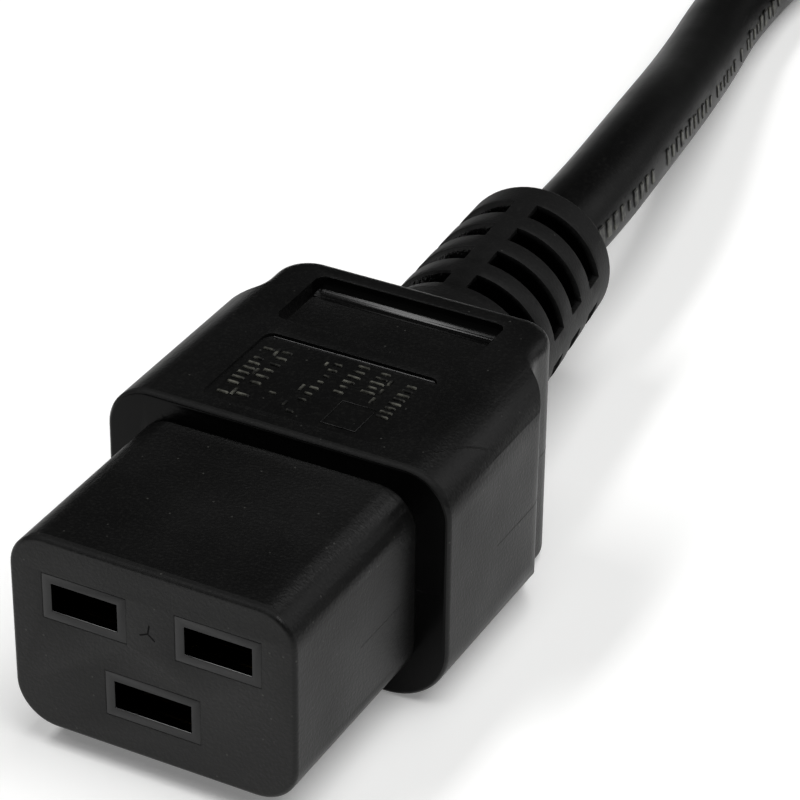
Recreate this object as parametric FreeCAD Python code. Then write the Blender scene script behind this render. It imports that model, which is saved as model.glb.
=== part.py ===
# C19 mains connector, moulded onto a 1 m round lead that ends in a C20 plug.
# Millimetres. +Y runs from the nose's face towards the cable and +Z is up. The origin lies
# under the middle of the connector, on the surface that it rests on.
import FreeCAD, Part
import math
import os

V = FreeCAD.Vector

# How far one form runs into the next so that the two fuse, or a cutter runs past what it cuts
overrun = 1.0

# Mating face: three flat blades, line and neutral side by side over a wider earth
live_spacing = 13.0
row_spacing = 8.0
live_slot_width = 6.45
earth_slot_width = 7.5
slot_height = 2.75
live_blade_width = 6.0
earth_blade_width = 7.0
blade_thickness = 2.0

# Connector: nose, grip and strain relief
nose_width = 27.8
nose_height = 19.5
nose_length = 20.9
nose_top_radius = 3.6
nose_bottom_radius = 4.0
nose_rim = 0.45
grip_width = 34.3
grip_height = 24.2
grip_length = 28.3
grip_top_radius = 4.5
grip_bottom_radius = 6.2
grip_rim = 0.5
waist_width = 28.1
waist_start = 16.3
waist_run = 7.2
heel_radius = 3.5
heel_rim = 1.3

# Recesses in the top of the grip
label_width = 17.6
label_length = 12.1
label_setback = 2.2
label_depth = 0.35
label_corner = 1.0
finger_width = 19.4
finger_length = 8.7
finger_lip = 2.7
finger_depth = 1.6
finger_corner = 1.0
finger_foot = 1.5

# Ringed strain relief, the same on both ends of the lead
boot_length = 30.3
boot_root_radius = 8.9
boot_end_radius = 7.95
boot_end_rim = 0.9
boot_lean = 5.2
sleeve_radius = 5.4
collar_length = 7.2
collar_step = 5.8
collar_rise = 0.22
ring_slots = 4
ring_slot = 2.8
ring_pitch = 5.4
top_spine = 2.3
side_spine = 2.8

# Hard insert: three chimneys on a base plate, closed by a cap
moulding_gap = 0.03
chimney_lip = 0.92
chimney_lip_depth = 2.5
chimney_play = 1.1
chimney_wall = 0.95
chimney_height = 5.0
chimney_length = 22.0
base_width = 25.0
base_height = 17.0
base_thickness = 3.0
base_corner = 1.5
cap_thickness = 2.5
spigot_length = 1.2
spigot_play = 0.06

# Socket contacts, folded from brass strip
strip = 0.4
contact_play = 0.35
contact_setback = 2.4
mouth_gap = 2.9
pinch_gap = 1.5
pinch_setback = 2.9
spring_length = 6.5
channel_length = 4.5
channel_height = 4.3
crimp_length = 2.5
crimp_space = 0.8
crimp_seam = 0.5
tail_width = 2.2

# Cable: three stranded cores under one round sheath
cable_radius = 4.5
core_radius = 1.35
strand_radius = 0.75
strand_bore = 0.8
core_circle = 1.75
core_run = 10.5
crimp_fit = 0.05
sheath_grip = 8.5

# Plug at the far end, which lies on the same surface, its shroud facing as the nose does
plug_width = 36.6
plug_height = 27.0
plug_grip_length = 30.0
plug_waist_width = 29.0
plug_waist_start = 13.0
plug_waist_run = 8.0
shroud_wall = 2.1
shroud_play = 0.35
shroud_floor_play = 0.4
plug_carrier_width = 23.7
plug_carrier_height = 15.5
plug_carrier_length = 6.0
live_blade_length = 17.0
earth_blade_length = 19.0
blade_tip = 0.5
cup_length = 4.0
cup_wall = 0.6

# Coil of the put-away length: two turns side by side, and part of a third on the outer one
coil_radius = 48.0
top_turn_start = 290.0
lead_clearance = 0.3
tie_angle = 90.0
tie_sweep = 17.0
tie_thickness = 0.8

# The share of a run that the arc at its end takes up
arc_share = 0.45

# The lead's route to the coil, after its straight run out of the strain relief, and from the
# coil to the plug
lead_run = 13.0
lead_points = [
    (-9.1, 75.5, 6.7),
    (-13.0, 100.0, 4.5),
    (-14.8, 143.0, 4.5),
    (-14.8, 185.0, 4.5),
]
tail_steps = [(0, 0, 0), (0, -28, 0), (-10.2, -60, 0), (-10.2, -88, 0)]

# Derived places
lean = math.radians(boot_lean)
boot_reach = (
    (boot_length - boot_end_rim) * math.cos(lean)
    + (boot_end_radius - boot_end_rim) * math.sin(lean)
    + boot_end_rim
)
face_y = -(nose_length + grip_length + boot_reach) / 2
mid_z = grip_height / 2
turn_gap = 2 * cable_radius
inner_lane = coil_radius - cable_radius
outer_lane = coil_radius + cable_radius
top_z = cable_radius + turn_gap
coil_x = lead_points[-1][0] + outer_lane
coil_y = lead_points[-1][1]

# Each pole: name, offset across, offset up, slot width, blade width, angle of its core in the sheath
POLES = [
    ("line", -live_spacing / 2, row_spacing / 2, live_slot_width, live_blade_width, 150),
    ("neutral", live_spacing / 2, row_spacing / 2, live_slot_width, live_blade_width, 30),
    ("earth", 0.0, -row_spacing / 2, earth_slot_width, earth_blade_width, 270),
]


def block(width, length, height, x, y, z):
    """A box centred on x and z that starts at y."""
    return Part.makeBox(width, length, height, V(x - width / 2, y, z - height / 2))


def rod(radius, length, x, y, z):
    return Part.makeCylinder(radius, length, V(x, y, z), V(0, 1, 0))


def bent(start, centre, radius, angle, end):
    """An arc from start to end, through the point of the circle at that angle."""
    return Part.Arc(start, centre + V(math.cos(angle), 0, math.sin(angle)) * radius, end).toShape()


def rounded_bar(width, height, length, top, bottom, x, y, z):
    """A bar along Y with its own corner radii at the top and at the bottom."""
    w, h = width / 2, height / 2
    corners = [(w, -h, -1, 1, bottom), (w, h, -1, -1, top), (-w, h, 1, -1, top), (-w, -h, 1, 1, bottom)]
    ends = []
    arcs = []
    for i, (cx, cz, sx, sz, r) in enumerate(corners):
        centre = V(x + cx + sx * r, y, z + cz + sz * r)
        start_angle = math.radians(270 + 90 * i)
        a = centre + V(math.cos(start_angle), 0, math.sin(start_angle)) * r
        b = centre + V(-math.sin(start_angle), 0, math.cos(start_angle)) * r
        arcs.append(bent(a, centre, r, start_angle + math.pi / 4, b))
        ends.append((a, b))
    sides = [Part.makeLine(ends[i][1], ends[(i + 1) % 4][0]) for i in range(4)]
    edges = [edge for pair in zip(arcs, sides) for edge in pair]
    return Part.Face(Part.Wire(edges)).extrude(V(0, length, 0))


def waisted_plan(width, waist, length, start, run, height, x, y, z):
    """A slab with the grip's outline from above: parallel sides, an S-curve in to the waist, round heels.

    It begins a little ahead of y, and its top and bottom edges are rounded."""
    w, n = width / 2, waist / 2
    step = w - n
    radius = (step**2 + run**2) / (4 * step)
    half = math.acos(1 - step / (2 * radius)) / 2
    front, back, s, e = y - 2 * heel_rim, y + length, y + start, y + start + run
    middle = V(x + (w + n) / 2, s + run / 2, z)
    outer = V(x + w - radius + radius * math.cos(half), s + radius * math.sin(half), z)
    inner = V(x + n + radius - radius * math.cos(half), e - radius * math.sin(half), z)
    centre = V(x + n - heel_radius, back - heel_radius, z)
    heel_mid = centre + V(1, 1, 0) * (heel_radius / math.sqrt(2))
    right = [
        Part.makeLine(V(x + w, front, z), V(x + w, s, z)),
        Part.Arc(V(x + w, s, z), outer, middle).toShape(),
        Part.Arc(middle, inner, V(x + n, e, z)).toShape(),
        Part.makeLine(V(x + n, e, z), centre + V(heel_radius, 0, 0)),
        Part.Arc(centre + V(heel_radius, 0, 0), heel_mid, centre + V(0, heel_radius, 0)).toShape(),
    ]
    left = [edge.mirror(V(x, 0, 0), V(1, 0, 0)) for edge in right]
    ends = [
        Part.makeLine(V(x - w, front, z), V(x + w, front, z)),
        Part.makeLine(centre + V(0, heel_radius, 0), V(2 * x - centre.x, back, z)),
    ]
    slab = Part.Face(Part.Wire(Part.__sortEdges__(right + left + ends))).extrude(V(0, 0, height))
    rims = [e for e in slab.Edges if e.BoundBox.ZLength < heel_rim]
    return slab.makeFillet(heel_rim, rims)


def edges_at(shape, y, tolerance=0.01):
    """The edges that lie in the plane across the connector at y."""
    return [
        e for e in shape.Edges
        if abs(e.BoundBox.YMin - y) < tolerance and abs(e.BoundBox.YMax - y) < tolerance
    ]


def grip_block(width, waist, length, start, run, height, x, y, z):
    bar = rounded_bar(width, height, length, grip_top_radius, grip_bottom_radius, x, y, z)
    bar = bar.makeFillet(grip_rim, edges_at(bar, y))
    return bar.common(waisted_plan(width, waist, length, start, run, height, x, y, z - height / 2))


def boot(x, y, z, lean_angle):
    """The ringed strain relief: a taper on a sleeve, cut through between its rings from above and below.

    Two spines down the top and bottom and two wider ones down the sides join the rings."""
    slope = (boot_root_radius - boot_end_radius) / boot_length
    outline = [
        V(0, -overrun, 0),
        V(boot_root_radius + collar_rise, -overrun, 0),
        V(boot_root_radius + collar_rise, collar_step - collar_rise, 0),
        V(boot_root_radius - slope * collar_step, collar_step, 0),
        V(boot_end_radius, boot_length, 0),
        V(0, boot_length, 0),
        V(0, -overrun, 0),
    ]
    cone = Part.Face(Part.makePolygon(outline)).revolve(V(0, 0, 0), V(0, 1, 0), 360)
    end_edge = [e for e in edges_at(cone, boot_length) if e.BoundBox.XLength > boot_end_radius]
    cone = cone.makeFillet(boot_end_rim, end_edge)
    reach = 2 * boot_root_radius
    cuts = []
    for i in range(ring_slots):
        s = collar_length + i * ring_pitch
        ring = Part.makeBox(2 * reach, ring_slot, 2 * reach, V(-reach, s, -reach))
        ring = ring.cut(rod(sleeve_radius, ring_slot, 0, s, 0))
        ring = ring.cut(block(top_spine, ring_slot, 2 * reach, 0, s, 0))
        cuts.append(ring.cut(block(2 * reach, ring_slot, side_spine, 0, s, 0)))
    shape = cone.cut(Part.makeCompound(cuts))
    shape.rotate(V(0, 0, 0), V(0, 0, 1), lean_angle)
    shape.translate(V(x, y, z))
    return shape


def chimneys(x, y, z, extra, interior):
    """The insert's outside, grown by extra, or with interior the hollows of its chimneys."""
    parts = []
    for _, dx, dz, slot, _, _ in POLES:
        cx, cz = x + dx, z + dz
        inner = slot + chimney_play
        if interior:
            parts.append(block(slot, chimney_lip_depth, slot_height, cx, y, cz))
            depth = chimney_length + base_thickness - chimney_lip_depth
            parts.append(block(inner, depth, chimney_height, cx, y + chimney_lip_depth, cz))
            continue
        lip = 2 * (chimney_lip + extra)
        wall = 2 * (chimney_wall + extra)
        parts.append(block(slot + lip, chimney_lip_depth, slot_height + lip, cx, y, cz))
        length = chimney_length - chimney_lip_depth
        parts.append(
            block(inner + wall, length + extra, chimney_height + wall, cx, y + chimney_lip_depth - extra, cz)
        )
    if interior:
        return Part.makeCompound(parts)
    plate = rounded_bar(
        base_width + 2 * extra, base_height + 2 * extra, base_thickness + extra,
        base_corner, base_corner, x, y + chimney_length - extra, z,
    )
    return plate.fuse(parts).removeSplitter()


def cap(x, y, z, extra):
    return rounded_bar(
        base_width + 2 * extra, base_height + 2 * extra, cap_thickness + extra,
        base_corner, base_corner, x, y + chimney_length + base_thickness, z,
    )


def carrier_cap(x, y, z):
    """The plate behind the insert. A spigot enters each chimney and lets its core through."""
    shape = cap(x, y, z, 0)
    back = y + chimney_length + base_thickness
    for _, dx, dz, slot, _, _ in POLES:
        size = chimney_play - 2 * spigot_play
        spigot = block(
            slot + size, spigot_length, chimney_height - 2 * spigot_play, x + dx, back - spigot_length, z + dz
        )
        shape = shape.fuse(spigot)
    for _, dx, dz, _, _, _ in POLES:
        depth = spigot_length + cap_thickness
        shape = shape.cut(rod(core_radius + crimp_fit, depth, x + dx, back - spigot_length, z + dz))
    return shape.removeSplitter()


def bent_strip(points, width, x):
    """Strip of the contact's thickness, folded along points (y, z) and width wide."""
    centre_line = Part.makePolygon([V(x - width / 2, py, pz) for py, pz in points])
    return Part.Face(centre_line.makeOffset2D(strip / 2)).extrude(V(width, 0, 0))


def crimp(bore, y, length, x, z):
    """A rolled barrel with its seam open along the top."""
    barrel = rod(bore + strip, length, x, y, z).cut(rod(bore, length, x, y, z))
    return barrel.cut(block(crimp_seam, length, 2 * bore, x, y, z + bore + strip))


def crimps(y, x, z, tail_start):
    """Conductor crimp at y, insulation crimp behind it, and the tail under them from tail_start."""
    grip_y = y + crimp_length + crimp_space
    wire = crimp(strand_radius + crimp_fit, y, crimp_length, x, z)
    sheath = crimp(core_radius + crimp_fit, grip_y, crimp_length, x, z)
    low = z - core_radius - crimp_fit - strip / 2
    high = z - strand_radius - crimp_fit - strip / 2
    tail = bent_strip(
        [tail_start, (y - crimp_space, high), (y + crimp_length, high), (grip_y, low),
         (grip_y + crimp_length - strip / 2, low)],
        tail_width, x,
    )
    reach = crimp_length + crimp_space / 2
    tail = tail.cut(rod(strand_radius + crimp_fit, reach, x, y, z))
    tail = tail.cut(rod(core_radius + crimp_fit, reach, x, grip_y - crimp_space / 2, z))
    return wire.fuse([sheath, tail])


def contact_ends(y):
    """Where a contact's springs, channel and crimps start."""
    mouth = y + chimney_lip_depth + contact_setback
    channel = mouth + spring_length
    return mouth, channel, channel + channel_length + 2 * crimp_space


def contact(x, y, z, slot):
    """A folded socket: two sprung leaves on an open-sided channel, with crimps behind."""
    mouth, channel, crimp_y = contact_ends(y)
    width = slot + chimney_play - 2 * contact_play
    h = (channel_height - strip) / 2
    outer = block(width, channel_length, channel_height, x, channel, z)
    space = block(width, channel_length, channel_height - 2 * strip, x + strip, channel, z)
    shape = outer.cut(space)
    pinch = mouth + pinch_setback
    for side in (-1, 1):
        leaf = bent_strip(
            [(mouth, z + side * (mouth_gap + strip) / 2), (pinch, z + side * (pinch_gap + strip) / 2),
             (channel - strip, z + side * h), (channel + strip, z + side * h)],
            width - 2 * strip, x,
        )
        shape = shape.fuse(leaf)
    return shape.fuse(crimps(crimp_y, x, z, (channel + channel_length - strip, z - h))).removeSplitter()


def s_path(start, end, run_start, run):
    """Straight along Y, an S-curve of two arcs that shifts it sideways, then straight to the end."""
    shift = V(end.x - start.x, 0, end.z - start.z)
    size = shift.Length
    across = shift / size
    radius = (size**2 + run**2) / (4 * size)
    half = math.acos(1 - size / (2 * radius)) / 2
    a = V(start.x, run_start, start.z)
    b = V(end.x, run_start + run, end.z)
    middle = (a + b) / 2
    bow = radius * (1 - math.cos(half))
    along = V(0, radius * math.sin(half), 0)
    return Part.Wire([
        Part.makeLine(start, a),
        Part.Arc(a, a + across * bow + along, middle).toShape(),
        Part.Arc(middle, b - across * bow - along, b).toShape(),
        Part.makeLine(b, end),
    ])


def swept(path, radius):
    start = path.Edges[0]
    direction = start.tangentAt(start.FirstParameter)
    section = Part.Wire(Part.makeCircle(radius, path.OrderedVertexes[0].Point, direction))
    return path.makePipeShell([section], True, True)


def core_path(x, y, z, pole, begin, sheath_y, cap_back):
    """From a crimp, through the cap and over to the core's place in the sheath."""
    _, dx, dz, _, _, angle = pole
    a = math.radians(angle)
    start = V(x + dx, begin, z + dz)
    end = V(x + core_circle * math.cos(a), sheath_y, z + core_circle * math.sin(a))
    return s_path(start, end, cap_back, core_run)


def core(path):
    return swept(path, core_radius).cut(swept(path, strand_bore))


def tangent_route(points):
    """Straight runs joined by arcs, each as large as its two runs allow. Prints the arcs' radii."""
    p = [V(*q) for q in points]
    edges = []
    here = p[0]
    radii = []
    for before, corner, after in zip(p, p[1:], p[2:]):
        u = (before - corner).normalize()
        w = (after - corner).normalize()
        half_turn = (math.pi - u.getAngle(w)) / 2
        reach = arc_share * min(before.distanceToPoint(corner), after.distanceToPoint(corner))
        radius = reach / math.tan(half_turn)
        bisector = (u + w).normalize()
        middle = corner + bisector * (radius / math.cos(half_turn) - radius)
        a, b = corner + u * reach, corner + w * reach
        edges.append(Part.makeLine(here, a))
        edges.append(Part.Arc(a, middle, b).toShape())
        here = b
        radii.append(round(radius, 1))
    edges.append(Part.makeLine(here, p[-1]))
    print("arc radii", radii)
    return Part.Wire(edges)


def cord_tube(points):
    path = tangent_route(points)
    tube = swept(path, cable_radius)
    section = math.pi * cable_radius**2
    print("length", round(path.Length, 1), "volume ratio", tube.Volume / (path.Length * section))
    return tube


def in_connector_path(x, y, z, lean_angle, begin, beyond=0.0):
    """The sheath inside a moulding, ending beyond the strain relief whose root is at (x, y, z)."""
    a = math.radians(lean_angle)
    tip = boot_length + beyond
    end = V(x - tip * math.sin(a), y + tip * math.cos(a), z)
    if lean_angle == 0:
        return Part.Wire([Part.makeLine(V(x, begin, z), end)])
    reach = arc_share * (y - begin)
    joint_a = V(x, y - reach, z)
    joint_b = V(x - reach * math.sin(a), y + reach * math.cos(a), z)
    radius = reach / math.tan(a / 2)
    middle = V(x - radius + radius * math.cos(a / 2), y - reach + radius * math.sin(a / 2), z)
    return Part.Wire([
        Part.makeLine(V(x, begin, z), joint_a),
        Part.Arc(joint_a, middle, joint_b).toShape(),
        Part.makeLine(joint_b, end),
    ])


# --- Connector ---
shoulder_y = face_y + nose_length
rear_y = shoulder_y + grip_length
sheath_y = rear_y - sheath_grip
cap_back = face_y + chimney_length + base_thickness + cap_thickness
_, _, crimp_y = contact_ends(face_y)
strands_y = crimp_y - crimp_space / 2
core_y = crimp_y + crimp_length + crimp_space / 2

core_paths = [core_path(0, face_y, mid_z, pole, core_y, sheath_y, cap_back) for pole in POLES]
strand_paths = [core_path(0, face_y, mid_z, pole, strands_y, sheath_y, cap_back) for pole in POLES]
sheath_path = in_connector_path(0, rear_y, mid_z, boot_lean, sheath_y)
sheath_bore = in_connector_path(0, rear_y, mid_z, boot_lean, sheath_y, boot_end_rim)


def recess(width, length, depth, corner, foot, y):
    """A pocket in the top of the grip, with round corners and a round foot to its rear wall."""
    floor = grip_height - depth
    above = grip_height + overrun
    plan = Part.makeBox(width, length, above - floor + depth, V(-width / 2, y, floor - depth))
    upright = [e for e in plan.Edges if e.BoundBox.ZLength > depth]
    plan = plan.makeFillet(corner, upright)
    edges = [
        Part.makeLine(V(-width, y, above), V(-width, y, floor)),
        Part.makeLine(V(-width, y, floor), V(-width, y + length - foot, floor)),
        Part.Arc(
            V(-width, y + length - foot, floor),
            V(-width, y + length - foot + foot / math.sqrt(2), floor + foot - foot / math.sqrt(2)),
            V(-width, y + length, floor + foot),
        ).toShape(),
        Part.makeLine(V(-width, y + length, floor + foot), V(-width, y + length, above)),
        Part.makeLine(V(-width, y + length, above), V(-width, y, above)),
    ]
    return plan.common(Part.Face(Part.Wire(edges)).extrude(V(2 * width, 0, 0)))


def overmoulded_body():
    nose = rounded_bar(
        nose_width, nose_height, nose_length + overrun, nose_top_radius, nose_bottom_radius, 0, face_y, mid_z
    )
    nose = nose.makeFillet(nose_rim, edges_at(nose, face_y))
    grip = grip_block(
        grip_width, waist_width, grip_length, waist_start, waist_run, grip_height, 0, shoulder_y, mid_z
    )
    shape = grip.fuse(nose)
    shape = shape.cut(recess(label_width, label_length, label_depth, label_corner, label_depth / 2,
                             shoulder_y + label_setback))
    finger_y = rear_y - finger_lip - finger_length
    shape = shape.cut(recess(finger_width, finger_length, finger_depth, finger_corner, finger_foot, finger_y))
    shape = shape.fuse(boot(0, rear_y, mid_z, boot_lean))
    shape = shape.cut(chimneys(0, face_y, mid_z, moulding_gap, False))
    shape = shape.cut(cap(0, face_y, mid_z, moulding_gap))
    for path in core_paths:
        shape = shape.cut(swept(path, core_radius + moulding_gap))
    shape = shape.cut(swept(sheath_bore, cable_radius + moulding_gap))
    return shape.removeSplitter()


# --- Coil of the put-away length ---
def around(angle, radius, z):
    """A point of the coil. Angles run clockwise, seen from above, from where the lead joins it."""
    a = math.radians(180 - angle)
    return V(coil_x + radius * math.cos(a), coil_y + radius * math.sin(a), z)


def spun(face, start, sweep):
    """A face across the turns at angle 0, carried round the coil from start through sweep."""
    turned = face.copy()
    turned.rotate(V(coil_x, coil_y, 0), V(0, 0, 1), -start)
    return turned.revolve(V(coil_x, coil_y, 0), V(0, 0, 1), -sweep)


def lying_pair():
    """The section of two turns side by side, with the space between them filled."""
    low, high = cable_radius, turn_gap
    inside = [around(0, radius, z) for radius, z in
              ((inner_lane, high), (inner_lane - low, low), (inner_lane, 0))]
    outside = [around(0, radius, z) for radius, z in
               ((outer_lane, 0), (outer_lane + low, low), (outer_lane, high))]
    return Part.Face(Part.Wire([
        Part.makeLine(inside[2], outside[0]),
        Part.Arc(*outside).toShape(),
        Part.makeLine(outside[2], inside[0]),
        Part.Arc(*inside).toShape(),
    ]))


def bundle(raised, grown):
    """The outline round all three turns, raised off the surface and grown by that much."""
    low = cable_radius + raised
    corners = [around(0, inner_lane, low), around(0, outer_lane, low), around(0, outer_lane, low + turn_gap)]
    return Part.Face(Part.makePolygon(corners + corners[:1]).makeOffset2D(cable_radius + grown))


def cable_coil():
    """The coil's outer shape: two turns, then all three, raised where the tie passes under them."""
    tie_start = tie_angle - tie_sweep / 2
    tie_end = tie_angle + tie_sweep / 2
    shape = spun(lying_pair(), 180, top_turn_start - 180)
    shape = shape.fuse([
        spun(bundle(0, 0), top_turn_start, 360 + tie_start - top_turn_start),
        spun(bundle(tie_thickness, 0), tie_start, tie_sweep),
        spun(bundle(0, 0), tie_end, 180 - tie_end),
    ])
    way_in = cable_radius + lead_clearance
    lane = rod(way_in, coil_radius, coil_x - outer_lane, coil_y - coil_radius, cable_radius)
    return shape.cut(lane).removeSplitter()


def coil_tie():
    start = tie_angle - tie_sweep / 2
    return spun(bundle(tie_thickness, tie_thickness), start, tie_sweep).cut(
        spun(bundle(tie_thickness, 0), start, tie_sweep))


# --- Plug ---
lead_ends = [
    in_connector_path(0, rear_y, mid_z, boot_lean, sheath_y, beyond).Edges[-1].lastVertex().Point
    for beyond in (0, lead_run)
]
lead = [(end.x, end.y, end.z) for end in lead_ends] + lead_points
tail = [(coil_x + outer_lane + dx, coil_y + dy, top_z + dz) for dx, dy, dz in tail_steps]
plug_x, plug_mouth, plug_z = tail[-1]
plug_rear = plug_mouth - boot_length
plug_floor = plug_rear - plug_grip_length
shroud_length = nose_length + shroud_floor_play
plug_sheath = plug_rear - sheath_grip
cup_y = plug_floor + plug_carrier_length
plug_core_y = cup_y + cup_length + moulding_gap
PLUG_POLES = [(name, -dx, dz, slot, blade, angle) for name, dx, dz, slot, blade, angle in POLES]
plug_lengths = {"line": live_blade_length, "neutral": live_blade_length, "earth": earth_blade_length}
plug_turn_y = plug_core_y + crimp_space
plug_core_paths = [
    core_path(plug_x, 0, plug_z, pole[:5] + (180 - pole[5],), plug_core_y, plug_sheath, plug_turn_y)
    for pole in PLUG_POLES
]
plug_sheath_path = in_connector_path(plug_x, plug_rear, plug_z, 0, plug_sheath)
plug_bore = in_connector_path(plug_x, plug_rear, plug_z, 0, plug_sheath, boot_end_rim)


def cup(dx, dz, grown):
    radius = strand_radius + crimp_fit + cup_wall + grown
    return rod(radius, cup_length + grown, plug_x + dx, cup_y, plug_z + dz)


def plug_block(grown):
    """The hard insert that holds the blades, flush with the floor of the shroud."""
    return rounded_bar(
        plug_carrier_width + 2 * grown, plug_carrier_height + 2 * grown, plug_carrier_length + grown,
        base_corner, base_corner, plug_x, plug_floor, plug_z,
    )


def plug_body():
    outside = 2 * (shroud_play + shroud_wall)
    inside = 2 * shroud_play
    mouth = plug_floor - shroud_length
    shroud = rounded_bar(
        nose_width + outside, nose_height + outside, shroud_length + overrun,
        nose_top_radius + shroud_wall, nose_bottom_radius + shroud_wall, plug_x, mouth, plug_z,
    )
    shroud = shroud.makeFillet(nose_rim, edges_at(shroud, mouth))
    shape = grip_block(
        plug_width, plug_waist_width, plug_grip_length, plug_waist_start, plug_waist_run,
        plug_height, plug_x, plug_floor, plug_z,
    )
    shape = shape.fuse([shroud, boot(plug_x, plug_rear, plug_z, 0)])
    shape = shape.cut(rounded_bar(
        nose_width + inside, nose_height + inside, shroud_length,
        nose_top_radius, nose_bottom_radius, plug_x, mouth, plug_z,
    ))
    shape = shape.cut(plug_block(moulding_gap))
    for pole, path in zip(PLUG_POLES, plug_core_paths):
        shape = shape.cut([cup(pole[1], pole[2], moulding_gap), swept(path, core_radius + moulding_gap)])
    return shape.cut(swept(plug_bore, cable_radius + moulding_gap)).removeSplitter()


def blade(pole):
    """A flat blade with bevelled edges at its tip and a cup at its back for the strands."""
    name, dx, dz, _, width, _ = pole
    length = plug_lengths[name]
    tip = plug_floor - length
    flat = block(width, length + plug_carrier_length, blade_thickness, plug_x + dx, tip, plug_z + dz)
    flat = flat.makeChamfer(blade_tip, edges_at(flat, tip))
    bore = rod(strand_radius + crimp_fit, cup_length, plug_x + dx, cup_y, plug_z + dz)
    return flat.fuse(cup(dx, dz, 0)).cut(bore)


def plug_carrier():
    shape = plug_block(0)
    for _, dx, dz, _, width, _ in PLUG_POLES:
        shape = shape.cut(block(
            width + 2 * moulding_gap, plug_carrier_length, blade_thickness + 2 * moulding_gap,
            plug_x + dx, plug_floor, plug_z + dz,
        ))
    return shape


# --- Every piece, by the name of its file ---
nodes = {
    "overmoulded_body": overmoulded_body(),
    "contact_carrier": chimneys(0, face_y, mid_z, 0, False).cut(chimneys(0, face_y, mid_z, 0, True)),
    "carrier_cap": carrier_cap(0, face_y, mid_z),
    "cable_in_connector": swept(sheath_path, cable_radius),
    "cable": cord_tube(lead),
    "cable_coil": cable_coil(),
    "coil_tie": coil_tie(),
    "cable_tail": cord_tube(tail),
    "cable_in_plug": swept(plug_sheath_path, cable_radius),
    "plug_body": plug_body(),
    "plug_carrier": plug_carrier(),
}
for pole, insulation, strands in zip(POLES, core_paths, strand_paths):
    name, dx, dz, slot = pole[:4]
    nodes[name + "_contact"] = contact(dx, face_y, mid_z + dz, slot)
    nodes[name + "_core"] = core(insulation)
    nodes[name + "_strands"] = swept(strands, strand_radius)
for pole, insulation in zip(PLUG_POLES, plug_core_paths):
    nodes["plug_" + pole[0] + "_blade"] = blade(pole)
    nodes["plug_" + pole[0] + "_core"] = core(insulation)

for name, shape in nodes.items():
    print(name, shape.isValid(), len(shape.Solids), round(shape.Volume, 1), shape.optimalBoundingBox(False))
os.makedirs("parts", exist_ok=True)
for name, shape in nodes.items():
    shape.exportStep("parts/" + name + ".step")
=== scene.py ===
# A C19 mains connector moulded onto a one-metre round lead, with a C20 plug at the far end.
# The sections follow the order in which such a lead is put together.
import math

import bmesh
import bpy
from mathutils import Matrix, Vector


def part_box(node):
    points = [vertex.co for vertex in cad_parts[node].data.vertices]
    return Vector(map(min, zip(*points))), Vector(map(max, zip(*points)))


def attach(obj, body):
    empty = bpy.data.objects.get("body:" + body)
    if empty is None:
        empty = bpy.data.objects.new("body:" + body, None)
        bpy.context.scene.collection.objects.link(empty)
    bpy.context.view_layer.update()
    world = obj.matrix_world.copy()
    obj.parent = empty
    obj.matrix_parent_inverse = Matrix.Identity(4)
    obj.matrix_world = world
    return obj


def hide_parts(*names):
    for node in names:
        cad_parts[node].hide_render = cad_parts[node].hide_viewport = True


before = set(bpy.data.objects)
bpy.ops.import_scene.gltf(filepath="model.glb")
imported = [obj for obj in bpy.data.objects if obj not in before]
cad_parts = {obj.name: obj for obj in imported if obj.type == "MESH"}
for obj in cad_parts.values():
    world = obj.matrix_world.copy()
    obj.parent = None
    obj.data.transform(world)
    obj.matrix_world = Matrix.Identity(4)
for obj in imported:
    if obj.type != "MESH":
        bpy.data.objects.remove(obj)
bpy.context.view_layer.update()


# --- Socket contacts ---
# Three female contacts, stamped from half-hard brass strip, folded into a pair of sprung leaves
# and crimped onto the cores. Rolling leaves fine lines along the strip, and handling dulls it.
MM = 0.001


def colour(code):
    """A hex colour as seen on a screen, turned to the linear light that shaders take."""
    channels = [int(code[i:i + 2], 16) / 255 for i in (1, 3, 5)]
    return [c / 12.92 if c <= 0.04045 else ((c + 0.055) / 1.055) ** 2.4 for c in channels] + [1.0]


def add_node(tree, kind, inputs=None, **settings):
    """Adds one node. An input takes a value, or another node's output to link to."""
    node = tree.nodes.new(kind)
    for name, value in settings.items():
        setattr(node, name, value)
    for name, value in (inputs or {}).items():
        if isinstance(value, bpy.types.NodeSocket):
            tree.links.new(value, node.inputs[name])
        else:
            node.inputs[name].default_value = value
    return node


def new_material(name, base, roughness, metallic=0.0, ior=1.5):
    """A plain shader to start from. Gives the material, its tree, its shader and its Object coordinates."""
    material = bpy.data.materials.new(name)
    material.use_nodes = True
    material.diffuse_color = colour(base)
    tree = material.node_tree
    shader = tree.nodes["Principled BSDF"]
    shader.inputs["Base Color"].default_value = colour(base)
    shader.inputs["Roughness"].default_value = roughness
    shader.inputs["Metallic"].default_value = metallic
    shader.inputs["IOR"].default_value = ior
    place = add_node(tree, "ShaderNodeTexCoord").outputs["Object"]
    return material, tree, shader, place


def dress(node, material):
    """Gives a CAD piece its finish."""
    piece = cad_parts[node]
    piece.data.materials.clear()
    piece.data.materials.append(material)


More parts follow.
